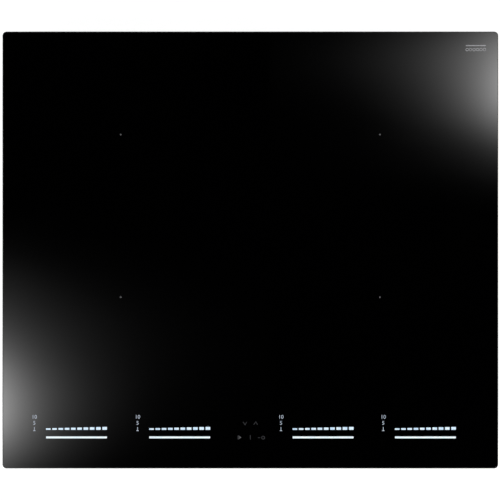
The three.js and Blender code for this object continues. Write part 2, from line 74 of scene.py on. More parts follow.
class Shader:
    """The node tree of a material or a world."""

    def __init__(self, owner):
        owner.use_nodes = True
        self.owner = owner
        self.tree = owner.node_tree

    def feed(self, socket, value):
        """Links a socket to another one, or sets it to a value."""
        if isinstance(value, bpy.types.NodeSocket):
            self.tree.links.new(value, socket)
        else:
            socket.default_value = value

    def put(self, kind, inputs=None, **options):
        node = tune(self.tree.nodes.new("ShaderNode" + kind), **options)
        for name, value in (inputs or {}).items():
            self.feed(node.inputs[name], value)
        return node

    def calc(self, operation, a, b=0.0):
        return self.put("Math", {0: a, 1: b}, operation=operation).outputs[0]

    def total(self, values):
        return reduce(lambda a, b: self.calc("ADD", a, b), values)

    def ramp(self, value, *stops):
        """Colours along a value; each stop is a place from 0 to 1 and a colour."""
        node = self.put("ValToRGB", {0: value})
        elements = node.color_ramp.elements
        for i, (position, color) in enumerate(stops):
            element = elements[i] if i < 2 else elements.new(position)
            tune(element, position=position, color=(*color[:3], 1))
        return node.outputs[0]

    def mix(self, share, first, second):
        return self.put("MixShader", {0: share, 1: first.outputs[0], 2: second.outputs[0]})

    def show(self, shader, output="Material Output"):
        self.tree.links.new(shader.outputs[0], self.tree.nodes[output].inputs["Surface"])


LOOKS = {}


class Look(Shader):
    """A Principled material, and short ways to vary it over a surface."""

    def __init__(self, name, color, roughness, **constants):
        super().__init__(bpy.data.materials.new(name))
        LOOKS[name] = self.owner
        self.shader = self.tree.nodes["Principled BSDF"]
        self.set(base_color=(*color, 1), roughness=roughness, **constants)

    def set(self, **inputs):
        for key, value in inputs.items():
            name = key.replace("_", " ").title().replace("Ior", "IOR")
            self.feed(self.shader.inputs[name], value)
        return self.owner

    def place(self, stretch=(1, 1, 1)):
        """A point's place on the piece, in metres, stretched along each axis."""
        where = self.put("TexCoord").outputs["Object"]
        return self.put("Mapping", {"Vector": where, "Scale": stretch}).outputs[0]

    def noise(self, scale, detail=3.0, stretch=(1, 1, 1), roughness=0.5):
        return self.put("TexNoise", {"Vector": self.place(stretch), "Scale": scale, "Detail": detail,
                                     "Roughness": roughness}).outputs["Fac"]

    def span(self, value, low, high, start=0.3, end=0.7):
        """A value that goes from low to high as the given one goes from start to end."""
        return self.put("MapRange", {0: value, 1: start, 2: end, 3: low, 4: high},
                        interpolation_type="SMOOTHSTEP").outputs[0]

    def bump(self, height, depth, strength, **under):
        inputs = {"Height": height, "Distance": depth, "Strength": strength, **under}
        return self.put("Bump", inputs).outputs[0]


# ---- stage, light and camera

CAMERA_X = -0.0004


def link_object(name, data):
    made = bpy.data.objects.new(name, data)
    bpy.context.scene.collection.objects.link(made)
    return made


def make_camera():
    """A camera straight above the glass. Returns its height."""
    lens, sensor, across = 100, 36, 0.5947
    data = tune(bpy.data.cameras.new("camera"), lens=lens, sensor_width=sensor)
    camera = link_object("camera", data)
    camera.location = (CAMERA_X, 0, TOP + across * lens / sensor)
    bpy.context.scene.camera = camera
    return camera.location.z


def make_world():
    """A white studio: bright round the horizon, black overhead, where the glass mirrors it."""
    world = Shader(bpy.data.worlds.new("studio"))
    bpy.context.scene.world = world.owner
    direction = world.put("TexCoord").outputs["Generated"]
    height = world.put("SeparateXYZ", {0: direction}).outputs["Z"]
    light = world.ramp(height, (0.0, grey(0.9)), (0.95, grey(0)), (0.2, grey(0.7)),
                       (0.5, grey(0.34)), (0.8, grey(0.14)))
    studio = world.put("Background", {"Color": light})
    backdrop = world.put("Background", {"Color": grey(1)})
    seen = world.put("LightPath").outputs["Is Camera Ray"]
    world.show(world.mix(seen, studio, backdrop), "World Output")


def stage_plane(name, near, far, half, place, material):
    mesh = bpy.data.meshes.new(name)
    corners = [(near, -half, 0), (far, -half, 0), (far, half, 0), (near, half, 0)]
    mesh.from_pydata(corners, [], [(0, 1, 2, 3)])
    mesh.materials.append(material)
    plane = link_object(name, mesh)
    plane.location = place
    return plane


def make_floor():
    """A white floor that shines a little itself. From below it isn't there."""
    half, drop, glow, white = 6, 0.0006, 0.8, 0.55
    look = Look("floor", grey(white)[:3], 1, specular_ior_level=0,
                emission_color=grey(1), emission_strength=glow)
    below = look.put("NewGeometry").outputs["Backfacing"]
    look.show(look.mix(below, look.shader, look.put("BsdfTransparent")))
    stage_plane("floor", -half, half, half, (0, 0, -drop), look.owner)


def glow_shader(name, side, lobes):
    """Light that fades away from an edge of the glass. A lobe is its strength, its reach from the
    edge, its middle along the edge, and its width there."""
    glow = Shader(bpy.data.materials.new(name))
    glow.tree.nodes.remove(glow.tree.nodes["Principled BSDF"])
    calc = glow.calc
    place = glow.put("SeparateXYZ", {0: glow.put("TexCoord").outputs["Object"]}).outputs
    inwards = calc("MAXIMUM", calc("MULTIPLY", place["X"], -side))
    parts = []
    for strength, reach, middle, width in lobes:
        off = calc("DIVIDE", calc("SUBTRACT", place["Y"], middle), width)
        bell = calc("MULTIPLY", calc("MULTIPLY", off, off), 0.5)
        fade = calc("ADD", calc("DIVIDE", inwards, reach), bell)
        parts.append(calc("MULTIPLY", calc("EXPONENT", calc("MULTIPLY", fade, -1)), strength))
    light = glow.put("Emission", {"Strength": glow.total(parts)})
    clear = glow.put("BsdfTransparent")
    glow.show(glow.put("AddShader", {0: light.outputs[0], 1: clear.outputs[0]}))
    return glow.owner


def make_glows(height):
    """Two soft lights beside the camera, which the glass mirrors at its left and right edges.
    They hang at the camera's height, where a mirror image is twice as large as on the glass."""
    mirrored, glass_shine, spill, length = 2, 0.04, 0.07, 2.4
    half = GLASS_HIGH.x
    plans = {
        1: [(0.225, 0.0296, 0.180, 0.0265), (0.188, 0.0457, 0.229, 0.0298), (0.013, 0.0486, 0.1254, 0.0253)],
        -1: [(0.302, 0.0318, -0.188, 0.041), (0.036, 0.0582, -0.1145, 0.0494)],
    }
    for side, lobes in plans.items():
        scaled = [(strength / glass_shine, reach * mirrored, middle * mirrored, width * mirrored)
                  for strength, reach, middle, width in lobes]
        name = f"glow_{side}"
        ends = sorted((side * spill, side * (spill - half * length)))
        place = (side * half * mirrored + CAMERA_X, 0, height)
        panel = stage_plane(name, *ends, half * 2, place, glow_shader(name, side, scaled))
        for ray in ("camera", "diffuse", "transmission", "shadow"):
            setattr(panel, f"visible_{ray}", False)


def make_lamp(name, azimuth, elevation, size, power):
    """A soft square lamp. It leaves the glass out, which would mirror it."""
    distance = 2.4
    turn, lift = radians(azimuth), radians(elevation)
    back = Vector((sin(turn) * cos(lift), -cos(turn) * cos(lift), sin(lift)))
    lamp = link_object(name, tune(bpy.data.lights.new(name, "AREA"), size=size, energy=power))
    lamp.location = back * distance
    lamp.rotation_euler = (-back).to_track_quat("-Z", "Y").to_euler()
    lit = bpy.data.collections.new(f"{name}_receivers")
    lit.objects.link(frame["nodes"]["glass_plate"])
    lit.collection_objects[0].light_linking.link_state = "EXCLUDE"
    lamp.light_linking.receiver_collection = lit


bpy.context.scene.view_settings.view_transform = "Standard"
make_glows(make_camera())
make_world()
make_floor()
make_lamp("key", -38, 40, 1.2, 26)
make_lamp("fill", 60, 28, 1.6, 14)
make_lamp("rear", 165, 34, 1.4, 16)


# ---- looks

def shade(color, factor):
    return tuple(min(1.0, channel * factor) for channel in color)


def moulded(name, color, roughness, grain=1400, depth=0.03 * MM, **constants):
    """Moulded plastic or rubber, with a fine grain and faint clouds of colour."""
    look = Look(name, color, roughness, **constants)
    return look.set(
        base_color=look.ramp(look.noise(38, 4), (0.3, shade(color, 0.92)), (0.7, shade(color, 1.08))),
        roughness=look.span(look.noise(90, 5), roughness - 0.04, roughness + 0.04),
        normal=look.bump(look.noise(grain, 2), depth, 0.6))


def drawn_metal(name, color, roughness, along, depth=0.012 * MM, **constants):
    """Metal with fine lines along one axis."""
    look = Look(name, color, roughness, metallic=1.0, **constants)
    lines = look.noise(1600, 3, [0.02 if axis == along else 1 for axis in range(3)])
    return look.set(
        base_color=look.ramp(look.noise(26, 5), (0.3, shade(color, 0.88)), (0.72, shade(color, 1.05))),
        roughness=look.span(lines, roughness - 0.08, roughness + 0.12),
        normal=look.bump(lines, depth, 0.5))


def glass_look():
    """Polished black glass with faint wiping marks and ground edges."""
    black = (0.0006, 0.0006, 0.0007)
    look = Look("black_ceramic_glass", black, 0.05)
    normal = look.put("NewGeometry").outputs["Normal"]
    upright = look.calc("ABSOLUTE", look.put("SeparateXYZ", {0: normal}).outputs["Z"])
    ground = look.span(upright, 1, 0, 0.9, 0.999)
    wiped = look.span(look.noise(7, 6, (1, 2.6, 1)), 0.045, 0.075)
    matt = look.calc("MULTIPLY", ground, 0.28)
    return look.set(
        base_color=look.ramp(ground, (0.0, black), (1.0, (0.012, 0.013, 0.014))),
        roughness=look.calc("ADD", wiped, matt),
        normal=look.bump(look.noise(900, 2), 0.004 * MM, look.span(ground, 0, 0.5, 0, 1)))


def galvanised_look():
    """Crystals of zinc, each with its own tone, gloss and feathering."""
    look = Look("galvanised_sheet", (0.34, 0.355, 0.37), 0.4, metallic=1.0)
    stir = look.put("TexNoise", {"Vector": look.place(), "Scale": 210, "Detail": 5}).outputs["Color"]
    moved = look.put("VectorMath", {0: stir, "Scale": 0.007}, operation="SCALE").outputs[0]
    stirred = look.put("VectorMath", {0: look.place(), 1: moved}, operation="ADD").outputs[0]
    crystals = look.put("TexVoronoi", {"Vector": stirred, "Scale": 120}).outputs["Color"]
    tone = look.put("SeparateColor", {0: crystals}).outputs[0]
    feather = look.noise(520, 6, (1, 0.35, 1), 0.7)
    shares = ((tone, 0.2), (feather, 0.62), (look.noise(11, 5), 0.35))
    mixed = look.total(look.calc("MULTIPLY", part, share) for part, share in shares)
    return look.set(
        base_color=look.ramp(mixed, (0.3, (0.24, 0.255, 0.265)), (0.85, (0.46, 0.475, 0.49))),
        roughness=look.span(look.calc("ADD", tone, feather), 0.36, 0.47, 0.3, 1.5),
        normal=look.bump(tone, 0.02 * MM, 0.2, Normal=look.bump(feather, 0.01 * MM, 0.35)))


def foam_look():
    """Matt black foam tape with fine open pore cells, painted darker in their hollows as painted shade."""
    look = Look("seal_foam", (0.018, 0.018, 0.019), 0.95, specular_ior_level=0.25)
    pores_and_painted_shade = look.put("TexVoronoi", {"Vector": look.place(), "Scale": 1500}).outputs["Distance"]
    return look.set(
        # Painted shade: the colour darkens into each pore, where the bump makes its hollow.
        base_color=look.ramp(pores_and_painted_shade, (0.05, (0.008, 0.008, 0.008)), (0.5, (0.028, 0.028, 0.03))),
        normal=look.bump(pores_and_painted_shade, 0.12 * MM, 0.8))


def board_look(name, mask, copper):
    """Solder mask over copper areas and tracks, which show a tone lighter."""
    look = Look(name, mask, 0.35, coat_weight=0.3, coat_roughness=0.2)
    tracks = look.put("TexBrick", {
        "Vector": look.place((1, 1, 0.001)), "Color1": grey(1), "Color2": grey(0.35), "Mortar": grey(0),
        "Scale": 130, "Mortar Size": 0.055, "Mortar Smooth": 0.0, "Bias": 0.2,
        "Brick Width": 1.7, "Row Height": 0.35}, offset=0.31).outputs["Color"]
    areas = look.span(look.noise(46, 0), 0, 1, 0.49, 0.5)
    tone = look.calc("MULTIPLY", tracks, areas)
    return look.set(
        base_color=look.ramp(tone, (0.1, mask), (0.6, copper)),
        roughness=look.span(look.noise(60, 4), 0.28, 0.42),
        normal=look.bump(tone, 0.035 * MM, 0.6))


BLACK = moulded("black_plastic", (0.016, 0.016, 0.017), 0.48)
WHITE = moulded("white_plastic", (0.74, 0.74, 0.71), 0.42)
GREY = moulded("grey_plastic", (0.17, 0.18, 0.19), 0.48)
RUBBER = moulded("rubber", (0.014, 0.014, 0.015), 0.68, 900, 0.05 * MM, specular_ior_level=0.35)
SILICONE = moulded("silicone", (0.022, 0.022, 0.024), 0.5, 500, 0.08 * MM)
FERRITE = moulded("ferrite", (0.035, 0.034, 0.036), 0.6, 700, 0.06 * MM)
SHEET = drawn_metal("aluminium_sheet", (0.76, 0.77, 0.78), 0.34, 1)
LITZ = drawn_metal("litz_wire", (0.62, 0.24, 0.09), 0.36, 0, 0.02 * MM, coat_weight=0.4)
STEEL = drawn_metal("zinc_steel", (0.66, 0.68, 0.70), 0.28, 2)
drawn_metal("aluminium_extrusion", (0.70, 0.71, 0.72), 0.3, 1, 0.03 * MM)
moulded("mica", (0.58, 0.53, 0.41), 0.5, 300, 0.05 * MM, sheen_weight=0.2)
moulded("light_guide", (0.82, 0.84, 0.86), 0.3, 400, 0.01 * MM, subsurface_weight=0.3)
board_look("green_board", (0.012, 0.10, 0.035), (0.03, 0.21, 0.07))
board_look("tan_board", (0.36, 0.22, 0.09), (0.48, 0.31, 0.13))
foam_look()
LOOKS["ceramic_glass"] = glass_look()
LOOKS["galvanised_steel"] = galvanised_look()


# ---- CAD nodes

def smooth_by_angle():
    """A node tree that shades smooth, except over edges sharper than an angle."""
    tree = bpy.data.node_groups.new("smooth_by_angle", "GeometryNodeTree")
    for end in ("INPUT", "OUTPUT"):
        tree.interface.new_socket("Geometry", in_out=end, socket_type="NodeSocketGeometry")
    start, faces, edges, angle, sharp, end = (tree.nodes.new(kind) for kind in (
        "NodeGroupInput", "GeometryNodeSetShadeSmooth", "GeometryNodeSetShadeSmooth",
        "GeometryNodeInputMeshEdgeAngle", "FunctionNodeCompare", "NodeGroupOutput"))
    edges.domain = "EDGE"
    edges.inputs["Shade Smooth"].default_value = False
    sharp.inputs[1].default_value = radians(38)
    for output, goal in ((angle.outputs["Unsigned Angle"], sharp.inputs[0]),
                         (start.outputs[0], faces.inputs["Geometry"]),
                         (faces.outputs[0], edges.inputs["Geometry"]),
                         (sharp.outputs[0], edges.inputs["Selection"]),
                         (edges.outputs[0], end.inputs[0])):
        tree.links.new(output, goal)
    return tree


SMOOTH = smooth_by_angle()
EDGE_ROUNDING = {"glass_plate": 0.12, "worktop_seal": 0.25, "adhesive_bead": 0.3}


def modify(thing, kind, **options):
    tune(thing.modifiers.new(kind.lower(), kind), **options)


def shade_evenly(thing):
    modify(thing, "NODES", node_group=SMOOTH)
    modify(thing, "WEIGHTED_NORMAL", keep_sharp=True, weight=100)


def dress(node):
    """Gives a CAD node its material and slightly rounded edges."""
    thing = frame["nodes"][node]
    thing.data.materials.clear()
    thing.data.materials.append(LOOKS[SLOT_OF[node]])
    modify(thing, "WELD", merge_threshold=0.001 * MM)
    modify(thing, "DECIMATE", decimate_type="DISSOLVE", angle_limit=radians(1))
    modify(thing, "BEVEL", width=EDGE_ROUNDING.get(node, 0.2) * MM, segments=2,
           limit_method="ANGLE", angle_limit=radians(40))
    shade_evenly(thing)


for name in frame["nodes"]:
    dress(name)


# ---- places and outlines, in millimetres

def mm_box(node):
    low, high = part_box(node)
    return low / MM, high / MM


def middle_of(node):
    low, high = mm_box(node)
    return (low + high) / 2


def at(x, y, z=0.0, turn=0.0):
    """Places a shape at a point, turned round Z by degrees."""
    return Matrix.Translation((x, y, z)) @ Matrix.Rotation(radians(turn), 4, "Z")


def over(node, z=0.0):
    return at(*middle_of(node).xy, z)


def facing(point, direction):
    """Places a shape at a point, with its Z axis along a direction."""
    turn = Vector(direction).to_track_quat("Z", "Y").to_matrix().to_4x4()
    return Matrix.Translation(point) @ turn


def polar(radius, angle, x=0.0, y=0.0):
    return x + radius * cos(angle), y + radius * sin(angle)


def circle_points(radius, count, x=0.0, y=0.0):
    return [polar(radius, tau * i / count, x, y) for i in range(count)]


def rounded_rect(width, depth, radius, x=0.0, y=0.0, steps=4):
    points = []
    for quarter in range(4):
        cx = x + (width / 2 - radius) * (1, -1, -1, 1)[quarter]
        cy = y + (depth / 2 - radius) * (1, 1, -1, -1)[quarter]
        for i in range(steps + 1):
            points.append(polar(radius, (quarter + i / steps) * pi / 2, cx, cy))
    return points


def stroke(points, width):
    """The outline of a line of even width through points."""
    line = [Vector(point) for point in points]
    ways = [(b - a).normalized() for a, b in zip(line, line[1:])]
    sides = [Vector((-way.y, way.x)) for way in ways]
    left, right = [], []
    for point, before, after in zip(line, [sides[0], *sides], [*sides, sides[-1]]):
        reach = (before + after) * (width / 2 / (1 + before.dot(after)))
        left.append((point + reach)[:])
        right.append((point - reach)[:])
    return left + right[::-1]


def level(outline, z):
    return [(x, y, z) for x, y in outline]


def smooth(points):
    """Points along a soft curve through the given ones."""
    steps = 5
    line = [Vector(point) for point in points]
    line = [line[0] * 2 - line[1], *line, line[-1] * 2 - line[-2]]
    path = []
    for a, b, c, d in zip(line, line[1:], line[2:], line[3:]):
        for i in range(steps):
            t = i / steps
            bend = (a * 2 - b * 5 + c * 4 - d) * t ** 2 + (b * 3 - a - c * 3 + d) * t ** 3
            path.append((b * 2 + (c - a) * t + bend) / 2)
    return [*path, line[-2]]


def evenly(points, step):
    """Points one step apart along straight lines between the given ones."""
    path, left = [points[0]], 0.0
    for start, end in zip(points, points[1:]):
        length = (end - start).length
        along = step - left
        while along <= length:
            path.append(start.lerp(end, along / length))
            along += step
        left = length - along + step
    return path


# ---- pieces

class Piece:
    """Gathers closed bodies into one mesh. Sizes are millimetres from the base."""

    def __init__(self, name, base=Matrix()):
        self.name = name
        self.base = base
        self.bodies = bmesh.new()
        self.materials = []

    def take(self, body, material, place):
        body.transform(Matrix.Scale(MM, 4) @ self.base @ place)
        bmesh.ops.recalc_face_normals(body, faces=body.faces)
        if material not in self.materials:
            self.materials.append(material)
        for face in body.faces:
            face.material_index = self.materials.index(material)
        mesh = bpy.data.meshes.new("body")
        body.to_mesh(mesh)
        body.free()
        self.bodies.from_mesh(mesh)
        bpy.data.meshes.remove(mesh)

    def box(self, low, high, material, edge=0.3, place=Matrix()):
        low, high = Vector(low), Vector(high)
        body = bmesh.new()
        bmesh.ops.create_cube(body, size=1, matrix=Matrix.LocRotScale((low + high) / 2, None, high - low))
        bmesh.ops.bevel(body, geom=body.edges[:], offset=edge, segments=2, profile=0.5, affect="EDGES")
        self.take(body, material, place)

    def block(self, x, y, width, depth, z0, z1, material, edge=0.3, place=Matrix()):
        """A box round a point."""
        low, high = (-width / 2, -depth / 2, z0), (width / 2, depth / 2, z1)
        self.box(low, high, material, edge, place @ at(x, y))

    def prism(self, outline, z0, z1, material, place=Matrix()):
        body = bmesh.new()
        base = body.faces.new([body.verts.new((x, y, z0)) for x, y in outline])
        raised = bmesh.ops.extrude_face_region(body, geom=[base])["geom"]
        tops = [v for v in raised if isinstance(v, bmesh.types.BMVert)]
        bmesh.ops.translate(body, verts=tops, vec=(0, 0, z1 - z0))
        self.take(body, material, place)

    def stack(self, outlines, material, place=Matrix()):
        """Joins outlines, each to the next. An outline of one point is a tip. Where the first
        isn't one, the last joins it, which makes a ring."""
        body = bmesh.new()
        rings = [[body.verts.new(point) for point in outline] for outline in outlines]
        if len(rings[0]) > 1:
            rings.append(rings[0])
        for lower, upper in zip(rings, rings[1:]):
            for i in range(max(len(lower), len(upper))):
                corners = ((lower, i), (lower, i + 1), (upper, i + 1), (upper, i))
                body.faces.new(list(dict.fromkeys(ring[k % len(ring)] for ring, k in corners)))
        self.take(body, material, place)

    def lathe(self, profile, material, sides, place=Matrix()):
        """Turns a profile of (radius, height) points round Z."""
        self.stack([level(circle_points(radius, sides) if radius else [(0, 0)], height)
                    for radius, height in profile], material, place)

    def tube(self, points, radius, material, sides=10, place=Matrix(), twist=(1, 0.0, 1.0)):
        """Sweeps a round section along points. A twist is its strands' (lobes, depth, pitch)."""
        points = [Vector(point) for point in points]
        lobes, depth, pitch = twist
        rings = [[points[0]]]
        across = None
        run = 0.0
        for i, point in enumerate(points):
            ahead = points[min(i + 1, len(points) - 1)] - points[max(i - 1, 0)]
            ahead.normalize()
            across = across or ahead.orthogonal().normalized()
            across = (across - ahead * across.dot(ahead)).normalized()
            other = ahead.cross(across)
            run += (point - points[i - 1]).length if i else 0.0
            ring = []
            for k in range(sides):
                a = tau * k / sides
                r = radius + depth * cos(lobes * a - tau * run / pitch)
                ring.append(point + across * (r * cos(a)) + other * (r * sin(a)))
            rings.append(ring)
        self.stack([*rings, [points[-1]]], material, place)

    def text(self, words, size, x, y, z0, z1, material):
        """Raises figures from the built-in font, centred on x and y."""
        holder = link_object("figures", tune(
            bpy.data.curves.new("figures", "FONT"), body=words, size=size, align_x="CENTER",
            align_y="CENTER", extrude=(z1 - z0) / 2, resolution_u=3))
        mesh = bpy.data.meshes.new_from_object(holder)
        body = bmesh.new()
        body.from_mesh(mesh)
        bmesh.ops.remove_doubles(body, verts=body.verts, dist=1e-5)
        bpy.data.objects.remove(holder)
        bpy.data.meshes.remove(mesh)
        self.take(body, material, at(x, y, (z0 + z1) / 2))

    def done(self, slot=None, node=None, body="root"):
        """Makes the object. In place of a CAD node, it takes the node's body. The slot is not used."""
        mesh = bpy.data.meshes.new(self.name)
        self.bodies.to_mesh(mesh)
        self.bodies.free()
        for material in self.materials:
            mesh.materials.append(material)
        made = link_object(self.name, mesh)
        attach(made, BODY_OF.get(node, body))
        slot or SLOT_OF[node]
        if node:
            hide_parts(node)
        shade_evenly(made)


# ---- prints and lights on the glass

PRINT_Z = (TOP / MM - 0.02, TOP / MM + 0.03)  # a print's thickness lies across the glass's surface
SLIDER_Y = mm_box("light_guide_1")[0].y + 6


def print_look(name, color):
    """Ceramic ink, uneven from its fine screen of dots."""
    look = Look(name, color, 0.4)
    screen = look.noise(2600, 1)
    return look.set(
        base_color=look.ramp(screen, (0.3, shade(color, 0.8)), (0.7, shade(color, 1.2))),
        normal=look.bump(screen, 0.01 * MM, 0.4))


def lit_look(name, dim, bright, fade=None):
    """A lit window, mottled between two colours. A fade is the two places along X, in
    millimetres, between which the light comes up."""
    look = Look(name, (0.01, 0.01, 0.012), 0.08, emission_strength=1)
    if fade:
        along = look.put("SeparateXYZ", {0: look.place()}).outputs["X"]
        look.set(emission_strength=look.span(along, 0.1, 1, fade[0] * MM, fade[1] * MM))
    return look.set(
        emission_color=look.ramp(look.noise(160, 4), (0.36, dim), (0.64, bright)),
        roughness=look.span(look.noise(60), 0.05, 0.09))


LIT_BAR = lit_look("lit_bar", (0.74, 0.86, 0.95), (0.86, 0.94, 0.99))
LIT_STEP = lit_look("lit_step", (0.56, 0.75, 0.96), (0.80, 0.92, 1.0))
LIT_FIGURE = lit_look("lit_figure", (0.34, 0.39, 0.48), (0.50, 0.55, 0.64))
LIT_DIM = lit_look("lit_dim", (0.014, 0.014, 0.015), (0.030, 0.030, 0.031))
LIT_START = lit_look("lit_start", (0.08, 0.08, 0.082), (0.11, 0.11, 0.112), (-15.5, -11))
INK = print_look("grey_ink", (0.095, 0.095, 0.10))
PALE_INK = print_look("pale_ink", (0.42, 0.42, 0.44))


def slider_lights(number):
    """One slider: a bar, ten steps that grow, and the figures 10, 5 and 1 over a dash."""
    length, bar, foot = 72.4, 2.4, 9
    steps, pitch, width, low, high = 10, 7.45, 5.5, 1.85, 3.5
    x = middle_of(f"light_guide_{number}").x + 8
    lights = Piece(f"slider_lights_{number}")
    lights.prism(rounded_rect(length, bar, 0.4, x, SLIDER_Y), *PRINT_Z, LIT_BAR)
    for i in range(steps):
        rise = low + (high - low) * i / (steps - 1)
        middle = x + (i - (steps - 1) / 2) * pitch
        lights.prism(rounded_rect(width, rise, 0.25, middle, SLIDER_Y + foot + rise / 2), *PRINT_Z, LIT_STEP)
    left = x - 50.1
    for figure, up in (("10", 24.2), ("5", 17.0), ("1", 9.9)):
        lights.text(figure, 6.4, left, SLIDER_Y + up, *PRINT_Z, LIT_FIGURE)
    lights.prism(rounded_rect(2.8, 0.7, 0.2, left, SLIDER_Y + 8.0), *PRINT_Z, LIT_FIGURE)
    lights.done("light_guide")


def centre_symbols():
    """The dim touch symbols between the sliders: down, up, start, pause and a key."""
    z0, z1 = PRINT_Z
    dim = Piece("centre_symbols", at(0, SLIDER_Y))
    for x, turn in ((-6.4, -1), (6.4, 1)):
        foot, tip = 16.8 - turn * 1.7, 16.8 + turn * 1.7
        dim.prism(stroke([(x - 2.3, foot), (x, tip), (x + 2.3, foot)], 0.9), z0, z1, LIT_DIM)
    dim.prism([(-15.4, -2.3), (-13.7, -2.3), (-10.6, 0), (-13.7, 2.3), (-15.4, 2.3)], z0, z1, LIT_START)
    dim.prism(rounded_rect(0.85, 5.4, 0.3, 0, 0.1), z0, z1, LIT_DIM)
    dim.prism(rounded_rect(2.8, 0.9, 0.4, 10.3, -0.3), z0, z1, LIT_DIM)
    dim.lathe([(1.3, z0), (2.2, z0), (2.2, z1), (1.3, z1)], LIT_DIM, 24, at(15.2, -0.3))
    dim.done("light_guide")


def zone_marks():
    """A small printed dot at the middle of each cooking zone."""
    marks = Piece("zone_marks")
    for corner in CORNERS:
        middle = middle_of(f"temperature_sensor_{corner}")
        marks.prism(circle_points(1.1, 20, middle.x, middle.y), *PRINT_Z, INK)
    marks.done("ceramic_glass")


def coil_mark():
    """A plain printed pictogram in the rear right corner: a coil under a line."""
    z0, z1 = PRINT_Z
    mark = Piece("coil_mark", at(GLASS_HIGH.x / MM - 26.8, GLASS_HIGH.y / MM - 19.6))
    for i in range(6):
        mark.lathe([(1.2, z0), (1.9, z0), (1.9, z1), (1.2, z1)], PALE_INK, 20, at((i - 2.5) * 4.1, -2.0))
    mark.prism(rounded_rect(24, 1.2, 0.4, 0, 2.7), z0, z1, PALE_INK)
    mark.done("ceramic_glass")


for number in range(1, 5):
    slider_lights(number)
centre_symbols()
zone_marks()
coil_mark()


# ---- screws and fittings

BRASS = drawn_metal("brass", (0.62, 0.45, 0.17), 0.3, 2)
FILTER_HOLES = [(x, y) for x in (-56, 56) for y in (-33, 33)]
POWER_HOLES = [(x, y) for x in (-104, 104) for y in (-108, 0, 108)]
BLOWER_HOLES = [(-48, 34), (52, 36), (-38, -38), (56, -68)]


def recessed_head(piece, radius, height, place, crown=0.5):
    """A screw's head with a cross recess, along Z from its seat."""
    arm, half = 0.52 * radius, 0.15 * radius
    corner = atan2(half, arm)
    between = (corner + pi / 4) / 2
    steps = (0, corner, between, pi / 4, pi / 2 - between, pi / 2 - corner)
    angles = [quarter * pi / 2 + step for quarter in range(4) for step in steps]

    def rim(reach, z):
        return [(*polar(reach, a), z) for a in angles]

    def recess(scale, z):
        outline = []
        for a in angles:
            c, s = max(abs(cos(a)), 1e-6), max(abs(sin(a)), 1e-6)
            reach = scale * max(min(arm / c, half / s), min(half / c, arm / s))
            outline.append((*polar(reach, a), z))
        return outline

    shoulder = height * (1 - crown)
    dome = height - shoulder
    piece.stack([[(0, 0, 0)], rim(radius, 0), rim(radius, shoulder),
                 rim(0.87 * radius, shoulder + 0.7 * dome), rim(0.62 * radius, height),
                 recess(1, height), recess(0.5, height * 0.35), [(0, 0, height * 0.3)]], STEEL, place)


def casing_screws():
    """Screws through the casing's walls, and the earth screw at the rear."""
    low, high = mm_box("base_tray")
    z = high.z - 6
    heads = Piece("casing_screws")
    spots = [((x, y, z), (0, y, 0)) for x in (-200, -60, 60, 200) for y in (low.y, high.y)]
    spots += [((x, y, z), (x, 0, 0)) for x in (low.x, high.x) for y in (-212, -70, 70, 212)]
    for spot, outwards in spots:
        recessed_head(heads, 3.6, 2.2, facing(spot, outwards))
    teeth, washer = 24, 0.6
    earth = facing((38, high.y, 14), (0, 1, 0))
    edge = [polar(4.6 + 0.5 * (i % 2), tau * i / teeth) for i in range(teeth)]
    heads.prism(edge, 0, washer, STEEL, earth)
    recessed_head(heads, 3.6, 2.2, earth @ at(0, 0, washer))
    heads.done("zinc_steel")


def floor_screws():
    """Low screws through the casing's floor, which hold the boards and the blowers."""
    held = [("filter_board", FILTER_HOLES)]
    for word in SIDES:
        held += [(f"power_board_{word}", POWER_HOLES), (f"blower_impeller_{word}", BLOWER_HOLES)]
    heads = Piece("floor_screws")
    for node, holes in held:
        for x, y in holes:
            recessed_head(heads, 3.4, 1.3, over(node) @ facing((x, y, 0.9), (0, 0, -1)), 0.3)
    heads.done("zinc_steel")


def threaded_screw(corner):
    """A worktop clamp's long screw, with its left-hand thread."""
    node = f"clamp_screw_{corner}"
    low, high = mm_box(node)
    seat, collar, pitch, sides, steps = 3.1, (48.4, 49.8), 0.8, 18, 6
    screw = Piece(f"threaded_screw_{corner}", over(node))
    recessed_head(screw, 4.6, seat - low.z, facing((0, 0, seat), (0, 0, -1)))
    rings = [[(0, 0, seat)]]
    for i in range(round((collar[0] - seat) / pitch * steps)):
        z = seat + i * pitch / steps
        ring = []
        for k in range(sides):
            a = tau * k / sides
            ring.append((*polar(2.25 + 0.23 * cos(tau * z / pitch + a), a), z))
        rings.append(ring)
    for r, z in ((2.2, collar[0]), (4.1, collar[0]), (4.4, collar[0] + 0.3), (4.4, collar[1] - 0.3),
                 (4.1, collar[1]), (2.5, collar[1]), (2.5, high.z - 0.4), (2.1, high.z)):
        rings.append(level(circle_points(r, sides), z))
    screw.stack([*rings, [(0, 0, high.z)]], STEEL)
    screw.done(node=node)


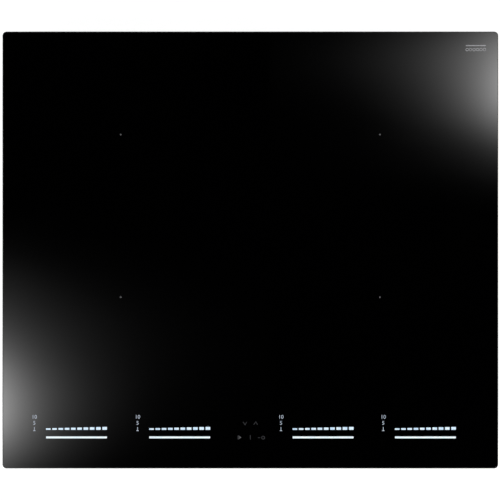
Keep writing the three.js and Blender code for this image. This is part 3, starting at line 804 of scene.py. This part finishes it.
def cable_fittings():
    half = [(7, 0), (7, 3.1), (7.4, 3.5), (11.3, 3.5), (12, 2.8), (12, 1.4), (11.4, 0.8), (9.2, 0.8),
            (9.2, 0)]
    grommet = Piece("rubber_grommet", facing(middle_of("cable_grommet"), (0, 1, 0)))
    grommet.lathe(half + [(r, -z) for r, z in half[-2:0:-1]], RUBBER, 48)
    grommet.done(node="cable_grommet")

    low, high = mm_box("cable_clamp")
    bar = Piece("lead_clamp")
    bar.box((low.x, low.y, low.z + 1.6), high, GREY, 0.8)
    for i in range(3):
        bar.block(0, low.y + 2 + 2 * i, 16, 1, high.z - 0.3, high.z + 0.7, GREY, 0.2)
    for x in (-15, 15):
        recessed_head(bar, 3.2, 1.6, facing((x, (low.y + high.y) / 2, low.z + 1.6), (0, 0, -1)))
    bar.done(node="cable_clamp")

    low, high = mm_box("terminal_block")
    outer, inner = rounded_rect(5.2, 5.0, 0.6, steps=2), rounded_rect(3.8, 3.6, 0.3, steps=2)
    cage = [level(outer, 0), level(outer, 10), level(inner, 10), level(inner, 0)]
    shank = [(0, 2.9), (1.4, 2.9), (1.4, 6.4), (0.9, 6.9), (0, 6.9)]
    metal = Piece("terminal_clamps", at(0, high.y - 7, low.z))
    for i in range(6):
        x = (i - 2.5) * 12
        metal.stack(cage, BRASS, facing((x, -4.4, 7.2), (0, 1, 0)))
        recessed_head(metal, 2.2, 1.8, facing((x, 0, 3), (0, 0, -1)))
        metal.lathe(shank, STEEL, 16, at(x, 0))
    metal.done("zinc_steel")

    low, high = mm_box("terminal_cover")
    grip = Piece("cover_grip")
    for i in range(4):
        grip.block(0, high.y - 6 - 2.4 * i, 18, 1.2, low.z - 0.25, low.z + 0.5, BLACK, 0.2)
    grip.done("black_plastic", body=BODY_OF["terminal_cover"])


def blower_wheel(word):
    """An impeller with thin curved blades between its plate and its ring."""
    node = f"blower_impeller_{word}"
    plate = [(0, 19), (15, 19), (16, 20), (16.4, 27.4), (35.4, 27.4), (36, 28), (36, 28.6), (35.5, 29),
             (13.6, 29), (13.2, 28.5), (13.2, 20.5), (0, 20.5)]
    ring = [(29.2, 5), (35.6, 5), (36, 5.4), (36, 6.2), (35.6, 6.5), (29.2, 6.5), (29, 6.2), (29, 5.3)]
    blades, inner, outer, sweep, thick, steps = 36, 29.4, 35.6, 0.2, 0.9, 6
    wheel = Piece(f"blower_wheel_{word}", over(node))
    for profile in (plate, ring):
        wheel.lathe(profile, GREY, 64)
    for i in range(blades):
        faces = [[], []]
        for k in range(steps + 1):
            t = k / steps
            r, a = inner + (outer - inner) * t, tau * i / blades - sweep * t * t
            for side, line in zip((-1, 1), faces):
                turn = a + side * thick / 2 / r * (1 - 0.5 * abs(2 * t - 1) ** 3)
                line.append(polar(r, turn))
        wheel.prism(faces[0] + faces[1][::-1], 5.6, 28, GREY)
    for i in range(6):
        wheel.box((4, -0.5, 18.5), (14.6, 0.5, 19.3), GREY, 0.2, at(0, 0, turn=60 * i))
    wheel.done(node=node)


casing_screws()
floor_screws()
for corner in CORNERS:
    threaded_screw(corner)
cable_fittings()
for word in SIDES:
    blower_wheel(word)


# ---- coils

SLEEVE = moulded("glass_fibre_sleeve", (0.70, 0.69, 0.62), 0.7, 900, 0.1 * MM)


def coil_frame(corner):
    """Places a coil: X points away from the hob's middle, and Z starts at the casing's floor."""
    node = f"coil_winding_{corner}"
    return over(node) @ Matrix.Diagonal((1 if middle_of(node).x > 0 else -1, 1, 1, 1))


def litz_spiral(corner):
    """A coil's winding: one stranded wire that winds outwards from the eye."""
    node = f"coil_winding_{corner}"
    low, high = mm_box(node)
    width, depth = (high - low).xy
    z, wire, turns, per_turn = (low.z + high.z) / 2, 1.62, 18, 36
    inner, outer = (47.6, 41.6, 18.8), (width - 3.6, depth - 3.6, 61.2)
    path = []
    for i in range(turns * per_turn + 1):
        grown = i / (turns * per_turn)
        size = [a + (b - a) * grown for a, b in zip(inner, outer)]
        x, y = rounded_rect(*size, steps=per_turn // 4 - 1)[i % per_turn]
        path.append(Vector((-x, -y, z)))
    spiral = Piece(f"litz_spiral_{corner}", coil_frame(corner))
    spiral.tube(evenly(path, 3), wire, LITZ, 12, twist=(4, 0.14, 9))
    spiral.done(node=node)


def coil_dish(corner):
    """The plastic dish that a coil is wound in, on feet between the ferrite bars."""
    node = f"coil_carrier_{corner}"
    low, high = mm_box(node)
    wide, deep = (high - low).xy
    bottom, floor, rim = 42.2, 43.8, high.z

    def wall(inset, z):
        return level(rounded_rect(wide - 2 * inset, deep - 2 * inset, 66 - inset, steps=12), z)

    def eye(radius, z):
        return level(rounded_rect(2 * radius, 2 * radius, radius - 0.02, steps=12), z)

    dish = Piece(f"coil_dish_{corner}", over(node))
    dish.stack([wall(0.3, bottom), wall(0, bottom + 0.3), wall(0, rim - 0.3), wall(0.3, rim), wall(1.2, rim),
                wall(1.5, rim - 0.3), wall(1.5, floor), eye(14, floor), eye(14, rim - 0.3), eye(13.7, rim),
                eye(12.3, rim), eye(12, rim - 0.3), eye(12, bottom)], WHITE)
    foot = [(0, low.z), (3.2, low.z), (3.5, low.z + 0.3), (3.5, bottom + 0.4), (0, bottom + 0.4)]
    for i in range(4):
        dish.lathe(foot, WHITE, 20, at(0, 0, turn=22.5 + 90 * i) @ at(76, 0, turn=-22.5 - 90 * i))
    for i in range(8):
        dish.box((8.4, -1.2, 44.6), (12.6, 1.2, 45.6), WHITE, 0.3, at(0, 0, turn=45 * i))
    dish.done(node=node)


def drop_of(corner, x, y):
    """How a lead goes on from the table's hole to its plug on the power board."""
    if corner.startswith("front"):
        return [(x, y, 36.5), (x, y, 28), (x, y, 18), (x, y, 11)]
    return [(x, y, 36.4), (x, y - 2.4, 34.8), (x, y - 9, 34.7), (x, -16, 34.7), (x, -24, 31), (x, -34, 22),
            (x, -50, 14), (x, -66, 14), (x, -71, 11)]


def coil_leads(corner):
    """A coil's two leads and its sensor's wires, which go down through the table. Those of a
    rear coil first run forward over the blower."""
    leads = Piece(f"coil_leads_{corner}", coil_frame(corner))
    inner = [(-23.8, -0.5, 45.9), (-23.9, 3.2, 44.6), (-25, 6.6, 41.5), (-29, 8.4, 40), (-33.6, 8.8, 39.3)]
    outer = [(-90.2, -27.5, 45.9), (-89.4, -31.6, 44.4), (-86, -35.6, 41.4), (-79, -38, 40),
             (-66, -34, 39.9), (-50, -20, 39.8), (-43.4, -12, 39)]
    for way, x, y in ((inner, -35.4, 9.4), (outer, -42.2, -11)):
        plug = drop_of(corner, x, y)
        leads.tube(smooth(way + plug), 1.35, SLEEVE)
        leads.block(*plug[-1][:2], 6, 6.8, 7.8, 13, WHITE, 0.6)
    for i in (0, 1):
        way = [(-8, 2 + i, 38.5), (-15, 6 + i, 38.4), (-24, 12 + i, 38.4), (-30, 12.8 + i * 0.2, 38.4)]
        leads.tube(smooth(way + drop_of(corner, -32 + 1.3 * i, 12.6)), 0.5, SLEEVE, 6)
    leads.block(*drop_of(corner, -31.3, 12.6)[-1][:2], 5.2, 4, 7.8, 12, WHITE, 0.4)
    leads.done("white_plastic")


def ferrite_rods(corner):
    """The eight bars that lie under a coil like spokes."""
    node = f"ferrite_bars_{corner}"
    low, high = mm_box(node)
    rods = Piece(f"ferrite_rods_{corner}", over(node))
    for i in range(8):
        rods.box((18, -4.5, low.z), ((high.x - low.x) / 2, 4.5, high.z), FERRITE, 0.7, at(0, 0, turn=45 * i))
    rods.done(node=node)


def sensor_button(corner):
    """The sensor's boot, whose ribbed neck presses it against the glass."""
    node = f"temperature_sensor_{corner}"
    low, high = mm_box(node)
    profile = [(0, low.z), (8.6, low.z), (9, low.z + 0.4), (9, 39), (8.6, 39.4), (4.6, 39.4), (4, 40)]
    for i in range(4):
        z = 40.6 + 2 * i
        profile += [(4, z), (3.5, z + 0.5), (3.5, z + 1), (4, z + 1.5)]
    profile += [(4, 49), (6.2, 49.5), (6.5, 49.9), (6.5, 51.3), (6, high.z), (2.4, high.z),
                (2, high.z - 0.4), (0, high.z - 0.4)]
    boot = Piece(f"sensor_button_{corner}", over(node))
    boot.lathe(profile, SILICONE, 40)
    boot.done(node=node)


for corner in CORNERS:
    litz_spiral(corner)
    coil_dish(corner)
    coil_leads(corner)
    ferrite_rods(corner)
    sensor_button(corner)


# ---- board parts

EPOXY = moulded("yellow_epoxy_case", (0.62, 0.42, 0.07), 0.42, 500)
GREY_CASE = moulded("grey_film_case", (0.26, 0.28, 0.30), 0.4, 600)
DARK_SLEEVE = moulded("dark_can_sleeve", (0.03, 0.035, 0.06), 0.3, 1200, 0.01 * MM)
BLUE_DISC = moulded("blue_disc", (0.02, 0.11, 0.33), 0.3, 200, 0.1 * MM, coat_weight=0.5)
CHIP = moulded("chip_resin", (0.02, 0.02, 0.021), 0.6, 1800, 0.02 * MM)
TINNED = drawn_metal("tinned_leads", (0.72, 0.72, 0.70), 0.35, 2)
WIRES = {word: moulded(f"{word}_wire", color, 0.4) for word, color in (
    ("brown", (0.14, 0.05, 0.02)), ("blue", (0.02, 0.09, 0.34)), ("earth", (0.30, 0.46, 0.04)),
    ("red", (0.42, 0.02, 0.015)), ("black", (0.02, 0.02, 0.021)))}


def board_of(node):
    """Places a board's parts: the origin is at its middle, on its upper face."""
    return over(node, mm_box(node)[1].z)


def can(piece, place, r, h):
    """A sleeved capacitor can, rolled in near its foot, with a bare top."""
    body = [(0, 0.3), (r * 0.92, 0.3), (r, 0.9), (r, 1.6), (r * 0.94, 2.2), (r, 2.8), (r, h - 0.8),
            (r * 0.92, h), (r * 0.8, h), (r * 0.8, h - 0.3), (0, h - 0.3)]
    top = [(0, h - 0.6), (r * 0.78, h - 0.6), (r * 0.78, h - 0.15), (0, h - 0.15)]
    piece.lathe(body, DARK_SLEEVE, 28, place)
    piece.lathe(top, SHEET, 28, place)


def cased(piece, place, w, d, h, material):
    """A film capacitor's case on four short feet."""
    piece.block(0, 0, w, d, 0.6, h, material, 0.9, place)
    for x in (1.6 - w / 2, w / 2 - 1.6):
        for y in (1.6 - d / 2, d / 2 - 1.6):
            piece.block(x, y, 2, 2, 0, 1.4, material, 0.2, place)


def toroid(piece, place, reach, section, turns, gap=0.0):
    """A ring core with its copper turns. A gap leaves the winding in two halves."""
    core = [(x, section + y) for x, y in circle_points(section * 0.8, 12, reach)]
    piece.lathe(core, FERRITE, 40, place)
    halves = (0, pi) if gap else (0,)
    for start in halves:
        sweep = tau / len(halves) - 0.25 - gap
        steps = turns * 10
        path = []
        for i in range(steps + 1):
            a, b = start + sweep * i / steps, tau * turns * i / steps
            path.append((*polar(reach + section * cos(b), a), section * (1 + sin(b))))
        piece.tube(path, section * 0.14, LITZ, 6, place)


def chip(piece, place, w, d, h, legs):
    """A surface-mounted chip with legs along two sides."""
    piece.block(0, 0, w, d, 0.15, h, CHIP, 0.12, place)
    pitch = w / legs
    for i in range(legs):
        for y in (-d / 2 - 0.5, d / 2 + 0.5):
            piece.block((i - (legs - 1) / 2) * pitch, y, pitch * 0.4, 1.4, 0, 0.35, TINNED, 0.05, place)


def socket(piece, place, count, pitch):
    """A white plug socket: a shroud round a row of pins."""
    w = count * pitch
    outer, inner = rounded_rect(w + 1.6, 7.4, 0.5, steps=2), rounded_rect(w, 5.8, 0.3, steps=2)
    piece.stack([level(outer, 0), level(outer, 8), level(inner, 8), level(inner, 1)], WHITE, place)
    piece.block(0, 0, w + 0.8, 6.6, 0, 1.2, WHITE, 0.1, place)
    for i in range(count):
        piece.block((i - (count - 1) / 2) * pitch, 0, 1, 1, 0, 7, TINNED, 0.15, place)


def relay(piece, place):
    piece.block(0, 0, 20, 15.5, 0.4, 16, BLACK, 0.8, place)
    piece.block(0, 0, 20.4, 15.9, 0, 2, BLACK, 0.2, place)


def transistor(piece, place):
    """A power transistor with its clip and three legs."""
    piece.block(0, 0, 4.8, 16, 5, 26, CHIP, 0.3, place)
    for y in (-5.4, 0, 5.4):
        piece.block(0, y, 0.8, 1.4, 0, 5.4, TINNED, 0.1, place)
    piece.box((-3.2, -3, 13), (-2.3, 3, 25.6), STEEL, 0.2, place)


def scatter(piece, low, high, count, seed):
    """Small resistors and capacitors in rows, some left out."""
    draw = Random(seed)
    across, along = 4, 3.2
    columns = max(1, round((high[0] - low[0]) / across))
    rows = max(1, round((high[1] - low[1]) / along))
    spots = [(i, j) for i in range(columns) for j in range(rows)]
    for i, j in draw.sample(spots, min(count, len(spots))):
        tall = draw.choice((0.5, 0.6, 0.9))
        body = draw.choice((CHIP, EPOXY, WHITE))
        spot = at(low[0] + (i + 0.5) * across, low[1] + (j + 0.5) * along, 0, draw.choice((0, 90)))
        piece.block(0, 0, 1.24, 1.24, 0.02, tall, body, 0.06, spot)
        for x in (-0.8, 0.8):
            piece.block(x, 0, 0.5, 1.28, 0, tall + 0.02, TINNED, 0.06, spot)


def power_parts(word):
    board = board_of(f"power_board_{word}")
    storage = Piece(f"capacitors_{word}", board)
    for y, d in ((74, 24), (46, 22)):
        cased(storage, at(-84, y), 42, d, 25, GREY_CASE)
    for y in (-12, -31, -86, -105):
        cased(storage, at(-92, y), 32, 15, 24, EPOXY)
    for x, y, r, h in ((100, 36, 8, 24), (100, 17, 8, 24), (80, 20, 5, 14), (80, 6, 5, 14), (70, -62, 4, 11)):
        can(storage, at(x, y), r, h)
    storage.done("grey_plastic")

    chokes = Piece(f"chokes_{word}", board)
    toroid(chokes, at(90, 70), 12, 5, 26)
    toroid(chokes, at(88, -34), 9, 3.6, 22)
    chokes.done("litz_wire")

    switches = Piece(f"transistors_{word}", board)
    for y in (-84, -48, 20, 56, 88):
        transistor(switches, at(-4.6, y))
    for y in (-60, 30):
        transistor(switches, at(62.8, y, turn=180))
    switches.done("black_plastic")

    logic = Piece(f"board_parts_{word}", board)
    for y in (62, 36):
        relay(logic, at(-50, y, turn=90))
    for x, y, w, d, legs in ((-40, -78, 12, 8, 12), (-62, -60, 9, 5, 7), (84, -78, 10, 6, 8),
                             (-36, -100, 5, 4, 4), (-30, 84, 5, 4, 4), (96, -10, 9, 5, 7)):
        chip(logic, at(x, y), w, d, 1.5, legs)
    for x, y, *pins in ((-78, 108, 4, 3.96), (94, 106, 4, 3.96), (-45, 106, 3, 2.5), (92, -104, 5, 2.5)):
        socket(logic, at(x, y), *pins)
    for x, y in ((-60, -66), (-52, -84)):
        logic.block(x, y, 4, 8, 0, 4.5, EPOXY, 0.4)
    fields = (((-70, -50), (-14, -24), 46), ((-66, -114), (-46, -92), 16), ((-30, -116), (-10, -92), 16),
              ((68, -98), (106, -84), 20), ((-68, 4), (-24, 22), 28))
    for seed, field in enumerate(fields, 3):
        scatter(logic, *field, seed)
    for x, y in POWER_HOLES:
        recessed_head(logic, 3.4, 2.2, at(x, y))
    logic.done("white_plastic")


def filter_parts():
    parts = Piece("filter_parts", board_of("filter_board"))
    for x in (-25, 25):
        toroid(parts, at(x, -2, turn=90), 11, 4.6, 10, 0.5)
    for y in (28, -28):
        cased(parts, at(0, y), 31, 12, 21, EPOXY)
    upright = Matrix.Rotation(pi / 2, 4, "X")
    disc = [(0, -1.8), (3.6, -1.6), (4.9, -0.7), (4.9, 0.7), (3.6, 1.6), (0, 1.8)]
    for x, y in ((-46, 18), (-46, 10), (46, 10), (46, 18)):
        parts.lathe(disc, BLUE_DISC, 24, at(x, y, 6.4) @ upright)
        for leg in (-2.4, 2.4):
            parts.block(x + leg, y, 0.6, 0.6, 0, 3.4, TINNED, 0.1)
    parts.lathe([(r * 1.5, z * 1.3) for r, z in disc], EPOXY, 28, at(44, -12, 9.2) @ upright)
    fuse = at(-46, -14, 4) @ Matrix.Rotation(pi / 2, 4, "Y")
    parts.lathe([(0, -10), (2.6, -10), (2.6, 10), (0, 10)], WHITE, 20, fuse)
    for end in (-1, 1):
        cap = [(0, 10.6), (2.9, 10.6), (3.1, 10.2), (3.1, 5.4), (0, 5.4)]
        parts.lathe([(r, end * z) for r, z in cap], TINNED, 20, fuse)
        parts.block(-46 + end * 8, -14, 3.2, 4.8, 0, 2.4, TINNED, 0.2)
    for x in (-30, 30):
        socket(parts, at(x, -34), 2, 5)
    for x in (-50, 0, 50):
        parts.block(x, 34.8, 6.4, 0.8, 0, 7.4, TINNED, 0.2)
    for x, y in FILTER_HOLES:
        recessed_head(parts, 3.4, 2.2, at(x, y))
    scatter(parts, (-12, -20), (12, -6), 8, 8)
    parts.done("tan_board")


def control_parts():
    """Touch springs, chips and the flat cable's socket."""
    parts = Piece("control_parts", board_of("control_board"))
    reach = TOP / MM - 4.2 - mm_box("control_board")[1].z
    turns, steps, wide, narrow = 4, 48, 2.6, 1.2
    spring = []
    for i in range(steps + 1):
        a, r = tau * turns * i / steps, wide - narrow * abs(2 * i / steps - 1)
        spring.append((*polar(r, a), 0.3 + (reach - 0.6) * i / steps))
    for x, y in ((-6.4, 6.7), (6.4, 6.7), (-13, -9.9), (0, -9.9), (14, -9.9)):
        parts.tube(spring, 0.22, STEEL, 6, at(x, y))
        parts.lathe([(0, 0), (3, 0), (3, 0.25), (0, 0.25)], BRASS, 24, at(x, y))
    chip(parts, at(2, 16.2), 9, 7, 1.4, 10)
    for x in (-26, 140, -154):
        chip(parts, at(x, 6), 7, 5, 1.2, 8)
        scatter(parts, (x - 10, -18), (x + 10, 0), 22, 9)
    parts.block(middle_of("ribbon_cable").x, 20.9, 15, 3, 0.05, 2.2, GREY)
    parts.done("grey_plastic")


for word in SIDES:
    power_parts(word)
filter_parts()
control_parts()


# ---- wiring

def mains_wiring():
    """Wires from the terminals to the filter board, and on to the power boards and casing."""
    wiring = Piece("mains_wiring")
    for colour, x, tab, inside in (("brown", -18, -50, 185), ("blue", 6, 0, 185), ("earth", 28, 50, 185.5)):
        wiring.tube(smooth([(x, inside, 20), (x, 178, 20), (x, 172, 19), ((x + tab) / 2, 169, 17),
                            (tab, 165.5, 16), (tab, 162.2, 14.5), (tab, 161.8, 12)]), 1.5, WIRES[colour])
        wiring.block(tab, 161.9, 8, 3.4, 10, 17.4, WHITE, 0.5)
    for side, word, socket_x in ((-1, "left", 94), (1, "right", -78)):
        for colour, shift in (("red", -2), ("black", 2)):
            start, goal = side * 30 + shift, middle_of(f"power_board_{word}").x + socket_x + shift
            wiring.tube(smooth([(start, 93, 14), (start, 92.6, 19), (start + side, 88, 22), (goal, 74, 22),
                                (goal, 62, 20), (goal, 59.4, 17), (goal, 59, 13)]), 1.2, WIRES[colour], 8)
    earth = [(50, 161, 12), (60, 158, 16), (70, 146, 15), (72, 128, 8), (73, 118, 3.4), (74, 112, 2.6)]
    wiring.tube(smooth(earth), 1.3, WIRES["earth"], 8)
    wiring.lathe([(2.2, 1.1), (4.6, 1.1), (4.6, 2.1), (2.2, 2.1)], TINNED, 24, at(74, 108))
    recessed_head(wiring, 3.6, 2.2, at(74, 108, 2.1))
    wiring.done("black_plastic")


def blower_wiring():
    """Three thin wires from each blower's motor to its power board."""
    way = [(-8, 208, 33.6), (-14, 200, 34.4), (-34, 184, 34.5), (-44, 168, 32), (-47, 150, 24),
           (-46, 124, 20), (-45, 110, 20), (-45, 106.4, 17), (-45, 106, 13)]
    wiring = Piece("blower_wiring")
    for word in SIDES:
        for colour, shift in (("red", -2.5), ("black", 0), ("blue", 2.5)):
            wiring.tube(smooth(way), 0.6, WIRES[colour], 6, over(f"power_board_{word}") @ at(shift, 0))
    wiring.done("black_plastic")


mains_wiring()
blower_wiring()
